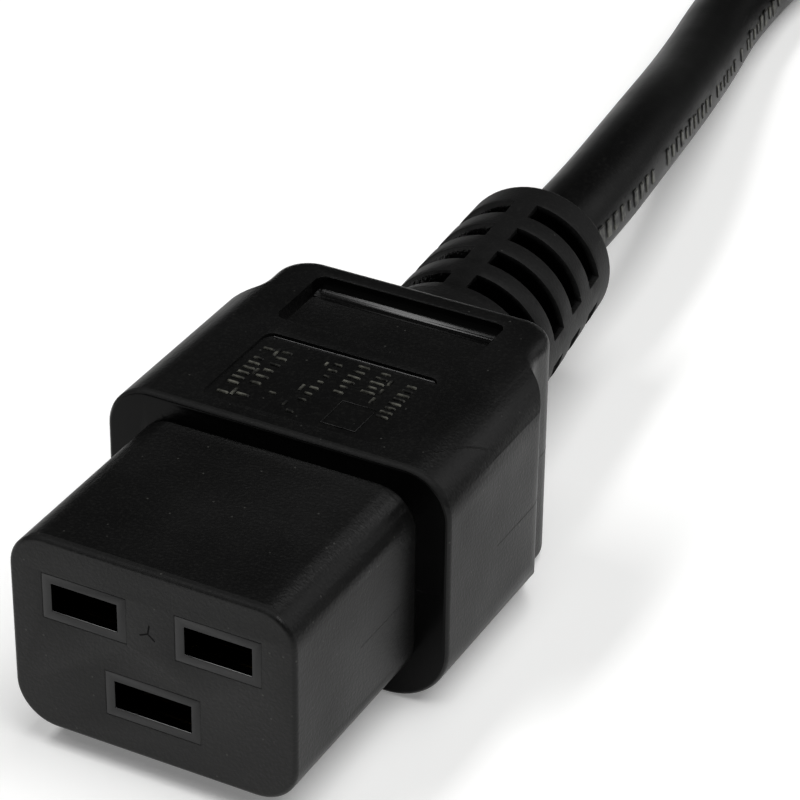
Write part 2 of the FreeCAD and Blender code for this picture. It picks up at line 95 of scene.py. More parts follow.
# Rolled brass: yellow metal with a soft gloss, dulled in patches 4 mm across. Its rolling lines run
# along the strip, a few hundredths of a millimetre apart. That is too fine to show, so they are drawn
# 0.15 mm apart
contact_brass, tree, shader, place = new_material("rolled_brass", "#B08D4A", 0.34, metallic=1.0)
stretched = add_node(tree, "ShaderNodeMapping", {"Vector": place, "Scale": (1, 0.04, 1)})
rolling = add_node(tree, "ShaderNodeTexNoise", {
    "Vector": stretched.outputs[0], "Scale": 1 / (0.15 * MM), "Detail": 3})
dulling = add_node(tree, "ShaderNodeTexNoise", {"Vector": place, "Scale": 1 / (4 * MM), "Detail": 4})
tone = add_node(tree, "ShaderNodeMix", {
    "Factor": dulling.outputs["Fac"], "A": colour("#A07C3C"), "B": colour("#C4A25C")}, data_type="RGBA")
tree.links.new(tone.outputs["Result"], shader.inputs["Base Color"])
lines = add_node(tree, "ShaderNodeBump", {
    "Height": rolling.outputs["Fac"], "Strength": 0.3, "Distance": 0.01 * MM})
tree.links.new(lines.outputs[0], shader.inputs["Normal"])
for pole in ("line", "neutral", "earth"):
    dress(pole + "_contact", contact_brass)


# --- Cores and their strands ---
# Three cores of stranded copper in coloured PVC insulation. The jacket is stripped inside the
# connector and the cores fan out to the contacts, each gripped by two rolled crimps.
def insulation(name, base, band=None):
    """Extruded PVC: smooth and a little glossy. Band is the second colour of a two-colour core."""
    material, tree, shader, place = new_material(name, base, 0.38)
    drift = add_node(tree, "ShaderNodeTexNoise", {"Vector": place, "Scale": 1 / (2.5 * MM), "Detail": 3})
    gloss = add_node(tree, "ShaderNodeMapRange", {
        "Value": drift.outputs["Fac"], "To Min": 0.3, "To Max": 0.46})
    tree.links.new(gloss.outputs[0], shader.inputs["Roughness"])
    if band:
        stripe_width, half_stripe = 0.35 * MM, 0.17 * MM
        across = add_node(tree, "ShaderNodeSeparateXYZ", {"Vector": place}).outputs["X"]
        stripe = add_node(tree, "ShaderNodeMath", {0: across, 1: stripe_width}, operation="PINGPONG")
        edge = add_node(tree, "ShaderNodeMath", {0: stripe.outputs[0], 1: half_stripe},
                        operation="GREATER_THAN")
        tone = add_node(tree, "ShaderNodeMix", {
            "Factor": edge.outputs[0], "A": colour(base), "B": colour(band)}, data_type="RGBA")
        tree.links.new(tone.outputs["Result"], shader.inputs["Base Color"])
    return material


# Bare copper: bright red metal where it was just stripped. Its strands are 0.25 mm across, too fine
# to show, so they are drawn 1.6 mm apart: a wave's bands lie 0.314 of 1 / Scale from each other
copper, tree, shader, place = new_material("stranded_copper", "#B87333", 0.3, metallic=1.0)
strands = add_node(tree, "ShaderNodeTexWave", {"Vector": place, "Scale": 1 / (5 * MM), "Distortion": 1.5},
                   bands_direction="X")
lay = add_node(tree, "ShaderNodeBump", {
    "Height": strands.outputs["Fac"], "Strength": 0.6, "Distance": 0.05 * MM})
tree.links.new(lay.outputs[0], shader.inputs["Normal"])
core_finish = {
    "line": insulation("brown_pvc_insulation", "#5B3320"),
    "neutral": insulation("blue_pvc_insulation", "#2A5DA8"),
    "earth": insulation("green_yellow_pvc_insulation", "#3F8A3A", "#D8C62E"),
}
for pole, finish in core_finish.items():
    dress(pole + "_core", finish)
    dress("plug_" + pole + "_core", finish)
    dress(pole + "_strands", copper)


# --- Hard insert ---
# Glass-filled nylon, moulded with its three chimneys and closed by a cap. Only the chimneys' ends
# show, flush with the face, as smooth rims round the slots. Their lips have a fine moulded radius.
def merged(node):
    """A CAD piece's loose triangles, joined at their corners, to work on."""
    work = bmesh.new()
    work.from_mesh(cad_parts[node].data)
    bmesh.ops.remove_doubles(work, verts=work.verts, dist=0.0005 * MM)
    return work


def new_object(name, data):
    """An object in the scene, at the origin."""
    made = bpy.data.objects.new(name, data)
    bpy.context.collection.objects.link(made)
    return made


def plain_mesh(piece):
    """The mesh that a piece and its modifiers make."""
    return bpy.data.meshes.new_from_object(piece.evaluated_get(bpy.context.evaluated_depsgraph_get()))


def skin(node, name, edge, finish):
    """A finished copy of a CAD piece: one closed mesh, its sharp edges rounded by edge, shaded smooth."""
    flat_within, sharp_from = math.radians(0.2), math.radians(32)
    work = merged(node)
    bmesh.ops.dissolve_limit(work, angle_limit=flat_within, verts=work.verts, edges=work.edges)
    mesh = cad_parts[node].data.copy()
    mesh.name = name
    work.to_mesh(mesh)
    work.free()
    piece = new_object(name, mesh)
    rounding = piece.modifiers.new("rounding", "BEVEL")
    rounding.width = edge
    rounding.segments = 2
    rounding.limit_method = "ANGLE"
    rounding.angle_limit = sharp_from
    rounding.harden_normals = True
    mesh.shade_smooth()
    piece.data = plain_mesh(piece)
    piece.modifiers.clear()
    piece.data.materials.clear()
    piece.data.materials.append(finish)
    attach(piece, "root")
    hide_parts(node)
    return piece


def inside(tree, place, low, high):
    """1 within the box from low to high, in millimetres, and 0 elsewhere."""
    middle = [(a + b) / 2 * MM for a, b in zip(low, high)]
    half = [(b - a) / 2 * MM for a, b in zip(low, high)]
    shifted = add_node(tree, "ShaderNodeVectorMath", {0: place, 1: middle}, operation="SUBTRACT")
    scaled = add_node(tree, "ShaderNodeVectorMath", {0: shifted.outputs[0], 1: half}, operation="DIVIDE")
    size = add_node(tree, "ShaderNodeVectorMath", {0: scaled.outputs[0]}, operation="ABSOLUTE")
    parts = add_node(tree, "ShaderNodeSeparateXYZ", {0: size.outputs[0]}).outputs
    most = add_node(tree, "ShaderNodeMath", {0: parts["X"], 1: parts["Y"]}, operation="MAXIMUM")
    most = add_node(tree, "ShaderNodeMath", {0: most.outputs[0], 1: parts["Z"]}, operation="MAXIMUM")
    return add_node(tree, "ShaderNodeMath", {0: most.outputs[0], 1: 1.0}, operation="LESS_THAN").outputs[0]


# Glass-filled nylon: black, satin, with a faint mottle 0.6 mm across where the fibres lie near the
# skin. The rooms behind the slots were drawn off polished pins, and are painted near black: painted shade
# inside them
nylon, tree, shader, place = new_material("black_glass_filled_nylon", "#0B0B0C", 0.4, ior=1.42)
mottle = add_node(tree, "ShaderNodeTexNoise", {"Vector": place, "Scale": 1 / (0.6 * MM), "Detail": 5})
satin = add_node(tree, "ShaderNodeMapRange", {"Value": mottle.outputs["Fac"], "To Min": 0.36, "To Max": 0.5})
room = inside(tree, place, (-14, -39.99, 0), (14, -12, 27))
drawn = add_node(tree, "ShaderNodeMapRange", {"Value": room, "To Min": satin.outputs[0], "To Max": 0.12})
tree.links.new(drawn.outputs[0], shader.inputs["Roughness"])
# The rooms behind the slots are painted near black here: painted shade
tone = add_node(tree, "ShaderNodeMix", {
    "Factor": room, "A": colour("#0B0B0C"), "B": colour("#010101")}, data_type="RGBA")
tree.links.new(tone.outputs["Result"], shader.inputs["Base Color"])
fibres = add_node(tree, "ShaderNodeBump", {
    "Height": mottle.outputs["Fac"], "Strength": 0.2, "Distance": 0.01 * MM})
tree.links.new(fibres.outputs[0], shader.inputs["Normal"])
insert = skin("contact_carrier", "hard_insert", edge=0.09 * MM, finish=nylon)
dress("carrier_cap", nylon)


# --- Moulded body ---
# Black PVC shot over the insert and the jacket in one go: nose, waisted grip and ringed strain
# relief. The tool was spark-eroded, so all but the walls that its cores form have a fine even grain.

# Moulded PVC: black and softly satin. Spark erosion leaves pits of about 0.05 mm, too fine to show,
# so they are drawn 0.3 mm across. Their rims catch the light, flow lines drift the gloss over 9 mm,
# and dust lies on it in pale specks
pvc, tree, shader, place = new_material("black_moulded_pvc", "#060606", 0.44, ior=1.325)
pits = add_node(tree, "ShaderNodeTexNoise", {"Vector": place, "Scale": 1 / (0.3 * MM), "Detail": 2})
flow = add_node(tree, "ShaderNodeTexNoise", {"Vector": place, "Scale": 1 / (9 * MM), "Detail": 3})
gloss = add_node(tree, "ShaderNodeMapRange", {
    "Value": flow.outputs["Fac"], "From Min": 0.3, "From Max": 0.7, "To Min": 0.38, "To Max": 0.48})

# The tool's cores were polished, and so are the walls that they formed: the rear walls of the two
# recesses, which show as a bright foot, and the step from the grip down to the nose
finger_wall = inside(tree, place, (-9.8, 4.95, 22.4), (9.8, 6.7, 24.15))
label_wall = inside(tree, place, (-8.9, -5.1, 23.8), (8.9, -4.7, 24.18))
step_wall = inside(tree, place, (-20, -19.2, 0), (20, -19.05, 28))
polished = add_node(tree, "ShaderNodeMath", {0: finger_wall, 1: label_wall}, operation="MAXIMUM").outputs[0]
polished = add_node(tree, "ShaderNodeMath", {0: polished, 1: step_wall}, operation="MAXIMUM").outputs[0]

# Handling has rubbed the upper front edges of the nose and the grip dull
nose_edge = inside(tree, place, (-12, -39.97, 19.5), (12, -39.2, 28))
step_edge = inside(tree, place, (-16.5, -19.05, 19.5), (16.5, -18.4, 28))
rubbed = add_node(tree, "ShaderNodeMath", {0: nose_edge, 1: step_edge}, operation="MAXIMUM").outputs[0]

# The strain relief came from a duller part of the tool. It leans to one side and tapers from where
# it starts. In its slotted stretch, all that lies deeper than the rings' tops is glossy and painted near black
# as shade
parting_height = 12.1 * MM
boot_start, boot_lean, boot_taper = 9.2 * MM, 0.091, 0.046
ring_top, sleeve_top = 9.1 * MM, 8.5 * MM
boot = inside(tree, place, (-20, 9.25, 0), (20, 41, 28))
slotted = inside(tree, place, (-20, 13, 0), (20, 37.7, 28))
at = add_node(tree, "ShaderNodeSeparateXYZ", {"Vector": place}).outputs
along = add_node(tree, "ShaderNodeMath", {0: at["Y"], 1: boot_start}, operation="SUBTRACT").outputs[0]
aside = add_node(tree, "ShaderNodeMath", {0: along, 1: boot_lean, 2: at["X"]},
                 operation="MULTIPLY_ADD").outputs[0]
above = add_node(tree, "ShaderNodeMath", {0: at["Z"], 1: parting_height}, operation="SUBTRACT").outputs[0]
from_axis = add_node(tree, "ShaderNodeCombineXYZ", {"X": aside, "Z": above}).outputs[0]
from_axis = add_node(tree, "ShaderNodeVectorMath", {0: from_axis}, operation="LENGTH").outputs["Value"]
even = add_node(tree, "ShaderNodeMath", {0: along, 1: boot_taper, 2: from_axis},
                operation="MULTIPLY_ADD").outputs[0]
# deep marks the slots between the rings, whose near black colour below is painted shade
sunk = add_node(tree, "ShaderNodeMapRange", {"Value": even, "From Min": ring_top, "From Max": sleeve_top})
deep = add_node(tree, "ShaderNodeMath", {0: sunk.outputs[0], 1: slotted}, operation="MULTIPLY").outputs[0]

# A small scar on the face marks where the gate tore off. Its three arms, each 0.9 mm long and
# 0.16 mm wide, run out from the gate's middle
gate = Vector((-0.25, -40, 15.6)) * MM
scar = None
for turn in (80, 205, 320):
    swung = add_node(tree, "ShaderNodeVectorRotate", {
        "Vector": place, "Center": gate, "Angle": math.radians(turn)}, rotation_type="Y_AXIS").outputs[0]
    arm = inside(tree, swung, (-0.25, -40.1, 15.52), (0.65, -39.9, 15.68))
    scar = arm if scar is None else add_node(
        tree, "ShaderNodeMath", {0: scar, 1: arm}, operation="MAXIMUM").outputs[0]

# Each place has its own roughness, over the drifting gloss of the rest
finish = gloss.outputs[0]
for where, roughness in ((polished, 0.2), (rubbed, 0.7), (boot, 0.6), (deep, 0.12), (scar, 1.0)):
    finish = add_node(tree, "ShaderNodeMapRange", {
        "Value": where, "To Min": finish, "To Max": roughness}).outputs[0]
tree.links.new(finish, shader.inputs["Roughness"])

# The step's wall has almost no shine on the real part, so it has less here. As it isn't the same all
# over, it is linked, and the export leaves it out
shine = add_node(tree, "ShaderNodeMapRange", {"Value": step_wall, "To Min": 0.5, "To Max": 0.2})
tree.links.new(shine.outputs[0], shader.inputs["Specular IOR Level"])

# The grain is 0.035 mm deep and all but gone where the tool was polished. The scar is torn inwards
depth = add_node(tree, "ShaderNodeMapRange", {"Value": polished, "To Min": 0.035 * MM, "To Max": 0.001 * MM})
torn = add_node(tree, "ShaderNodeBump", {"Height": scar, "Strength": 1.0, "Distance": 0.3 * MM}, invert=True)
grain = add_node(tree, "ShaderNodeBump", {
    "Height": pits.outputs["Fac"], "Strength": 1.0, "Distance": depth.outputs[0],
    "Normal": torn.outputs[0]})
tree.links.new(grain.outputs[0], shader.inputs["Normal"])

# Black in the pits and greyer on their rims, which paints the grain's shade and highlights, with a speck of
# dust 0.2 mm across every 1.6 mm or so
rim = add_node(tree, "ShaderNodeMapRange", {"Value": pits.outputs["Fac"], "From Min": 0.5, "From Max": 0.75})
motes = add_node(tree, "ShaderNodeTexVoronoi", {"Vector": place, "Scale": 1 / (1.6 * MM)})
mote = add_node(tree, "ShaderNodeMath", {0: motes.outputs["Distance"], 1: 0.06}, operation="LESS_THAN")
tone = colour("#030303")
# The slots of the strain relief are painted near black in this mix: painted shade
for where, shade in ((rim.outputs[0], "#0F0F0E"), (mote.outputs[0], "#30302E"), (polished, "#040404"),
                     (scar, "#010101"), (deep, "#010101")):
    tone = add_node(tree, "ShaderNodeMix", {"Factor": where, "A": tone, "B": colour(shade)},
                    data_type="RGBA").outputs["Result"]
tree.links.new(tone, shader.inputs["Base Color"])
body = skin("overmoulded_body", "moulded_body", edge=0.12 * MM, finish=pvc)


# --- Flash and witness lines ---
# The tool's two halves meet at mid-height and leave a very fine hair of flash along the nose and
# the grip. A second, shorter line on the right shoulder shows where a side core closed.
def bead(name, points, radius):
    """A fine raised line of the body's PVC along points."""
    path = bpy.data.curves.new(name, "CURVE")
    path.dimensions = "3D"
    path.bevel_depth = radius
    path.bevel_resolution = 1
    run = path.splines.new("POLY")
    run.points.add(len(points) - 1)
    for point, at in zip(run.points, points):
        point.co = (*at, 1)
    path.materials.append(pvc)
    piece = new_object(name, path)
    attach(piece, "root")


# The flash is what the parting plane cuts of the outer walls, from behind the face to the grip's rear
nose_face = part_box("overmoulded_body")[0][1]
first_flash = nose_face + 0.6 * MM
last_flash = 9.0 * MM
outer_wall = 12.0 * MM
work = merged("overmoulded_body")
cut = bmesh.ops.bisect_plane(work, geom=work.verts[:] + work.edges[:] + work.faces[:],
                             plane_co=(0, 0, parting_height), plane_no=(0, 0, 1))
around_it = [v.co.copy() for v in cut["geom_cut"] if isinstance(v, bmesh.types.BMVert)]
work.free()
for side, name in ((1, "flash_right"), (-1, "flash_left")):
    wall = [p for p in around_it if p.x * side > outer_wall and first_flash < p.y < last_flash]
    bead(name, sorted(wall, key=lambda p: (round(p.y, 6), p.x * side)), radius=0.02 * MM)

# The side core's line runs back and down over the shoulder's rounding, in millimetres
rounding_radius, rounding_start, grip_top = 4.5, 12.65, 24.2
from_x, from_y, across, back, pieces = 13.7, -15.4, 2.6, 5.0, 8
shoulder = []
for i in range(pieces + 1):
    x = from_x + across * i / pieces
    fall = rounding_radius - math.sqrt(rounding_radius ** 2 - (x - rounding_start) ** 2)
    shoulder.append(Vector((x, from_y + back * i / pieces, grip_top - fall)) * MM)
bead("core_witness", shoulder, radius=0.08 * MM)

# The core that forms the finger recess leaves a hair of flash along the top of its rear wall. Each
# of its points is found on the skin, straight below one well above it
half_width, rear_wall, pieces = 8.6, 6.62, 12
well_above = 40
down = Vector((0, 0, -1))
edge_points = []
for i in range(pieces + 1):
    x = (-half_width + 2 * half_width * i / pieces) * MM
    _, seat, _, _ = body.ray_cast(Vector((x, rear_wall * MM, well_above * MM)), down)
    edge_points.append(seat)
bead("recess_flash", edge_points, radius=0.05 * MM)

# PVC has bled a hair's breadth along the joint round each chimney. The chimneys' front faces are
# sorted into groups that share corners, one group for each chimney
bleed_radius = 0.04 * MM
work = merged("contact_carrier")
front_faces = [f for f in work.faces if max(v.co.y for v in f.verts) < nose_face + 0.01 * MM]
chimney = 0
while front_faces:
    rim_faces = {front_faces[0]}
    while True:
        wider = {f for f in front_faces if any(v in g.verts for g in rim_faces for v in f.verts)}
        if wider == rim_faces:
            break
        rim_faces = wider
    front_faces = [f for f in front_faces if f not in rim_faces]
    xs = [v.co.x for f in rim_faces for v in f.verts]
    zs = [v.co.z for f in rim_faces for v in f.verts]
    left, right, low, high = min(xs), max(xs), min(zs), max(zs)
    around = [(left, low), (right, low), (right, high), (left, high), (left, low)]
    bead("bleed_%d" % chimney, [(x, nose_face + bleed_radius, z) for x, z in around], radius=bleed_radius)
    chimney += 1
work.free()


# --- Relief in the label recess ---
# The tool has marks cut into it, which stand up 0.12 mm on the floor of the recess: here plain
# bars, ticks and a thin frame, in rows that run along the connector.
def into_plain_mesh(piece, tree, values):
    """Runs a geometry tree on a piece with its inputs set, and leaves the result as a plain mesh."""
    making = piece.modifiers.new("making", "NODES")
    making.node_group = tree
    for item in tree.interface.items_tree:
        if item.item_type == "SOCKET" and item.in_out == "INPUT" and item.name in values:
            making[item.identifier] = values[item.name]
    made = plain_mesh(piece)
    piece.modifiers.clear()
    piece.data = made


def new_tree(name, sockets):
    """A geometry tree with a geometry input and output, and one named input for each size."""
    tree = bpy.data.node_groups.new(name, "GeometryNodeTree")
    tree.interface.new_socket("Geometry", in_out="INPUT", socket_type="NodeSocketGeometry")
    tree.interface.new_socket("Geometry", in_out="OUTPUT", socket_type="NodeSocketGeometry")
    for socket, kind in sockets.items():
        tree.interface.new_socket(socket, in_out="INPUT", socket_type="NodeSocket" + kind)
    return tree, add_node(tree, "NodeGroupInput").outputs


def tapered_bar(tree):
    """A bar one unit long, wide and high, drawn in a little towards its top as moulded relief is."""
    cone = add_node(tree, "GeometryNodeMeshCone", {
        "Vertices": 4, "Radius Top": 0.6, "Radius Bottom": 0.707, "Depth": 1.0})
    return add_node(tree, "GeometryNodeTransform", {
        "Geometry": cone.outputs["Mesh"], "Rotation": (0, 0, math.pi / 4)}).outputs[0]


def finish_tree(tree, instances, material):
    """Ends a tree: its copies become one real mesh, with their finish."""
    real = add_node(tree, "GeometryNodeRealizeInstances", {"Geometry": instances})
    done = add_node(tree, "GeometryNodeSetMaterial", {"Geometry": real.outputs[0], "Material": material})
    add_node(tree, "NodeGroupOutput", {"Geometry": done.outputs[0]})


# One bar on each point, with chance lengths and gaps. Random Value's sockets go by number: 2 and 3
# are the least and most of a length, 6 is the chance that a bar is there
tree, given = new_tree("raised_bars", {"Bar Width": "Float", "Bar Height": "Float", "Shortest": "Float",
                                       "Filled": "Float", "Turn": "Float", "Seed": "Int", "Finish": "Material"})
length = add_node(tree, "GeometryNodeInputNamedAttribute", {"Name": "length"}, data_type="FLOAT")
share = add_node(tree, "FunctionNodeRandomValue", {
    2: given["Shortest"], 3: 1.0, "Seed": given["Seed"]}, data_type="FLOAT")
kept = add_node(tree, "FunctionNodeRandomValue", {6: given["Filled"], "Seed": given["Seed"]},
                data_type="BOOLEAN")
long = add_node(tree, "ShaderNodeMath", {0: length.outputs[0], 1: share.outputs[1]}, operation="MULTIPLY")
size = add_node(tree, "ShaderNodeCombineXYZ", {
    "X": long.outputs[0], "Y": given["Bar Width"], "Z": given["Bar Height"]})
turned = add_node(tree, "ShaderNodeCombineXYZ", {"Z": given["Turn"]})
bars = add_node(tree, "GeometryNodeInstanceOnPoints", {
    "Points": given["Geometry"], "Selection": kept.outputs[3], "Instance": tapered_bar(tree),
    "Rotation": turned.outputs[0], "Scale": size.outputs[0]})
finish_tree(tree, bars.outputs[0], given["Finish"])
bar_tree = tree

# Rubbed PVC: the same moulding's marks, and the jacket's, worn grey in patches 1.2 mm across, and paler than
# the body all over: a painted highlight where their edges catch the light
rubbed_and_highlit_pvc, tree, shader, place = new_material("rubbed_moulded_pvc_with_painted_highlight", "#2C2C2A", 0.5, ior=1.38)
wear = add_node(tree, "ShaderNodeTexNoise", {"Vector": place, "Scale": 1 / (1.2 * MM), "Detail": 4})
bare = add_node(tree, "ShaderNodeMapRange", {"Value": wear.outputs["Fac"], "From Min": 0.42, "From Max": 0.62})
tone = add_node(tree, "ShaderNodeMix", {
    "Factor": bare.outputs[0], "A": colour("#0E0E0D"), "B": colour("#56564F")}, data_type="RGBA")
tree.links.new(tone.outputs["Result"], shader.inputs["Base Color"])

# Rows of bars, in millimetres: across, start along, how many, pitch, bar length and width, shortest
# share, share filled, and whether they lie along the connector
recess_floor = 23.85
relief = 0.12
sunk_in = 0.02
first_seed = 5
rows = [
    (-7.4, -15.4, 10, 0.92, 1.5, 0.3, 0.5, 0.85, False),
    (-5.6, -15.0, 8, 1.15, 1.5, 0.3, 0.6, 0.8, False),
    (-6.5, -14.8, 5, 1.9, 1.3, 0.28, 0.7, 0.9, True),
    (-3.4, -14.6, 7, 1.1, 1.1, 0.26, 0.4, 0.6, False),
    (-1.6, -14.4, 6, 1.5, 1.0, 0.24, 0.5, 0.6, True),
    (-0.6, -15.4, 9, 1.1, 1.0, 0.26, 0.4, 0.7, False),
    (1.6, -10.6, 6, 0.95, 1.4, 0.26, 0.3, 0.75, False),
    (3.9, -9.4, 5, 0.85, 1.6, 0.26, 0.5, 0.85, False),
    (4.9, -10.4, 3, 1.7, 1.1, 0.26, 0.6, 0.9, True),
    (6.9, -12.4, 9, 0.8, 1.3, 0.28, 0.6, 0.95, False),
]
# The bars take the paler PVC: partly rubbed grey, partly a painted highlight on their edges
for number, (x, y, count, pitch, longest, width, shortest, filled, lengthways) in enumerate(rows):
    middle_height = recess_floor + relief / 2 - sunk_in
    points = bpy.data.meshes.new("relief_row_%d" % number)
    points.from_pydata([Vector((x, y + pitch * i, middle_height)) * MM for i in range(count)], [], [])
    points.attributes.new("length", "FLOAT", "POINT").data.foreach_set("value", [longest * MM] * count)
    row = new_object("relief_row_%d" % number, points)
    into_plain_mesh(row, bar_tree, {
        "Bar Width": width * MM, "Bar Height": relief * MM, "Shortest": shortest, "Filled": filled,
        "Turn": math.pi / 2 if lengthways else 0.0, "Seed": first_seed + number, "Finish": rubbed_and_highlit_pvc})
    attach(row, "root")
frame_corners = [(2.6, -15.6), (6.0, -15.6), (6.0, -11.6), (2.6, -11.6), (2.6, -15.6)]
frame_height = recess_floor + 0.03
bead("relief_frame", [Vector((x, y, frame_height)) * MM for x, y in frame_corners], radius=0.07 * MM)


# --- Lead ---
# One metre of round flexible cord, 9 mm over its extruded PVC jacket. It leaves the strain relief,
# droops to the surface and runs to a coil, whose last turn lies on the first and leads to the plug.
cord_radius = 4.5 * MM

# The coil's turns lie in two lanes, a cord's width apart, and the last one climbs onto the outer
# lane. Its stages are in degrees round it, from where the cord meets it
coil_centre = Vector((37.7 * MM, 185 * MM, 0))
inner_lane = 43.5 * MM
outer_lane = 52.5 * MM
points_per_turn = 24
moves_inward = (290, 360)
climbs = (580, 650)
coil_end = 900
tie_angle = 90
tie_hump = (10, 26)
tie_lift = 0.8 * MM


def ease(value, start, end):
    """From 0 at start to 1 at end, smoothly."""
    t = min(max((value - start) / (end - start), 0), 1)
    return t * t * (3 - 2 * t)


def coil_point(angle):
    """The cord's middle on its way round the coil, clockwise from the lead: in, up and over, and off."""
    inward = ease(angle, *moves_inward)
    climb = ease(angle, *climbs)
    rise = math.pi * (1 - climb / 2)
    radius = outer_lane + (inner_lane - outer_lane) * inward
    z = cord_radius
    if climb > 0:
        radius = outer_lane + 2 * cord_radius * math.cos(rise)
        z = cord_radius + 2 * cord_radius * math.sin(rise)
    z += tie_lift * (1 - ease(abs(angle % 360 - tie_angle), *tie_hump))
    radius /= math.cos(math.pi / points_per_turn)  # the curve runs inside its points
    turn = math.radians(180 - angle)
    return coil_centre + Vector((radius * math.cos(turn), radius * math.sin(turn), z))


# Points for the cord's middle, in millimetres: from the strain relief to the coil, and from the top
# of the coil to the plug
lead_route = [(-2.75, 39.37, 12.1), (-2.79, 50, 12.0), (-5.7, 72, 10.4),
              (-10, 95, 6.6), (-14.7, 118, 4.5), (-14.8, 143, 4.5)]
tail_route = [(90.2, 157, 13.5), (80, 125, 13.5), (80, 97, 13.5)]
route = [Vector(p) * MM for p in lead_route]
step = 360 / points_per_turn
route += [coil_point(step * (i + 0.5)) for i in range(int(coil_end / step))]
route += [Vector(p) * MM for p in tail_route]

line = bpy.data.curves.new("lead", "CURVE")
line.dimensions = "3D"
line.bevel_resolution = 8
line.use_fill_caps = True
spline = line.splines.new("NURBS")
spline.points.add(len(route) - 1)
for point, place_of_it in zip(spline.points, route):
    point.co = (*place_of_it, 1)
spline.order_u = 3
spline.use_endpoint_u = True
spline.resolution_u = 8
lead = new_object("lead", line)
middle_line = plain_mesh(lead)
line.bevel_depth = cord_radius

# Extruded PVC: black, smoother than the moulded body and with a weak shine, under a thin haze of
# talc. The die's pits are a few hundredths of a millimetre, so they are drawn 0.35 mm across to show
jacket, tree, shader, place = new_material("black_extruded_pvc", "#060606", 0.42, ior=1.24)
haze = add_node(tree, "ShaderNodeTexNoise", {"Vector": place, "Scale": 1 / (5 * MM), "Detail": 4})
gloss = add_node(tree, "ShaderNodeMapRange", {
    "Value": haze.outputs["Fac"], "From Min": 0.3, "From Max": 0.7, "To Min": 0.38, "To Max": 0.46})
tree.links.new(gloss.outputs[0], shader.inputs["Roughness"])
pits = add_node(tree, "ShaderNodeTexNoise", {"Vector": place, "Scale": 1 / (0.35 * MM), "Detail": 3})
grain = add_node(tree, "ShaderNodeBump", {
    "Height": pits.outputs["Fac"], "Strength": 0.8, "Distance": 0.014 * MM})
tree.links.new(grain.outputs[0], shader.inputs["Normal"])
# Paler where the grain stands up and darker in its pits: painted highlight and shade on the grain
painted_grain_light = add_node(tree, "ShaderNodeMapRange", {"Value": pits.outputs["Fac"], "From Min": 0.5, "From Max": 0.75})
tone = add_node(tree, "ShaderNodeMix", {
    "Factor": painted_grain_light.outputs[0], "A": colour("#030303"), "B": colour("#121211")}, data_type="RGBA")
tree.links.new(tone.outputs["Result"], shader.inputs["Base Color"])
line.materials.append(jacket)
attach(lead, "root")
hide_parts("cable", "cable_coil", "cable_tail")
for hidden in ("cable_in_connector", "cable_in_plug"):
    dress(hidden, jacket)


# --- Raised marks on the jacket ---
# The extruder's wheel embosses the jacket along one side, a little above its middle: here plain
# upright bars up to 2.1 mm high, 1.9 mm apart with chance gaps. They stand about 0.03 mm proud, and
# their tops are rubbed grey and painted paler: a painted highlight.
tree, given = new_tree("ticks_along_the_jacket", {
    "Reach": "Float", "Lean": "Float", "Pitch": "Float", "Tick Height": "Float", "Narrowest": "Float",
    "Widest": "Float", "Proud": "Float", "Shortest": "Float", "Filled": "Float", "Seed": "Int",
    "Finish": "Material"})
path = add_node(tree, "GeometryNodeMeshToCurve", {"Mesh": given["Geometry"]})
level = add_node(tree, "GeometryNodeSetCurveNormal", {"Curve": path.outputs[0]}, mode="Z_UP")
spaced = add_node(tree, "GeometryNodeCurveToPoints", {"Curve": level.outputs[0], "Length": given["Pitch"]},
                  mode="LENGTH")
leaning = add_node(tree, "ShaderNodeVectorRotate", {
    "Vector": spaced.outputs["Normal"], "Axis": spaced.outputs["Tangent"], "Angle": given["Lean"]})
out = add_node(tree, "ShaderNodeVectorMath", {0: leaning.outputs[0], "Scale": given["Reach"]},
               operation="SCALE")
seated = add_node(tree, "GeometryNodeSetPosition", {
    "Geometry": spaced.outputs["Points"], "Offset": out.outputs[0]})
facing = add_node(tree, "FunctionNodeAxesToRotation", {
    "Primary Axis": spaced.outputs["Tangent"], "Secondary Axis": out.outputs[0]},
    primary_axis="Y", secondary_axis="Z")
share = add_node(tree, "FunctionNodeRandomValue", {
    2: given["Shortest"], 3: 1.0, "Seed": given["Seed"]}, data_type="FLOAT")
wide = add_node(tree, "FunctionNodeRandomValue", {
    2: given["Narrowest"], 3: given["Widest"], "Seed": given["Seed"]}, data_type="FLOAT")
kept = add_node(tree, "FunctionNodeRandomValue", {6: given["Filled"], "Seed": given["Seed"]},
                data_type="BOOLEAN")
tall = add_node(tree, "ShaderNodeMath", {0: given["Tick Height"], 1: share.outputs[1]}, operation="MULTIPLY")
size = add_node(tree, "ShaderNodeCombineXYZ", {"X": tall.outputs[0], "Y": wide.outputs[1], "Z": given["Proud"]})
ticks = add_node(tree, "GeometryNodeInstanceOnPoints", {
    "Points": seated.outputs[0], "Selection": kept.outputs[3], "Instance": tapered_bar(tree),
    "Rotation": facing.outputs[0], "Scale": size.outputs[0]})
finish_tree(tree, ticks.outputs[0], given["Finish"])
coil_begins = 140 * MM
along_lead = [v.co.copy() for v in middle_line.vertices]
first_in_coil = next(i for i, at in enumerate(along_lead) if at.y > coil_begins)
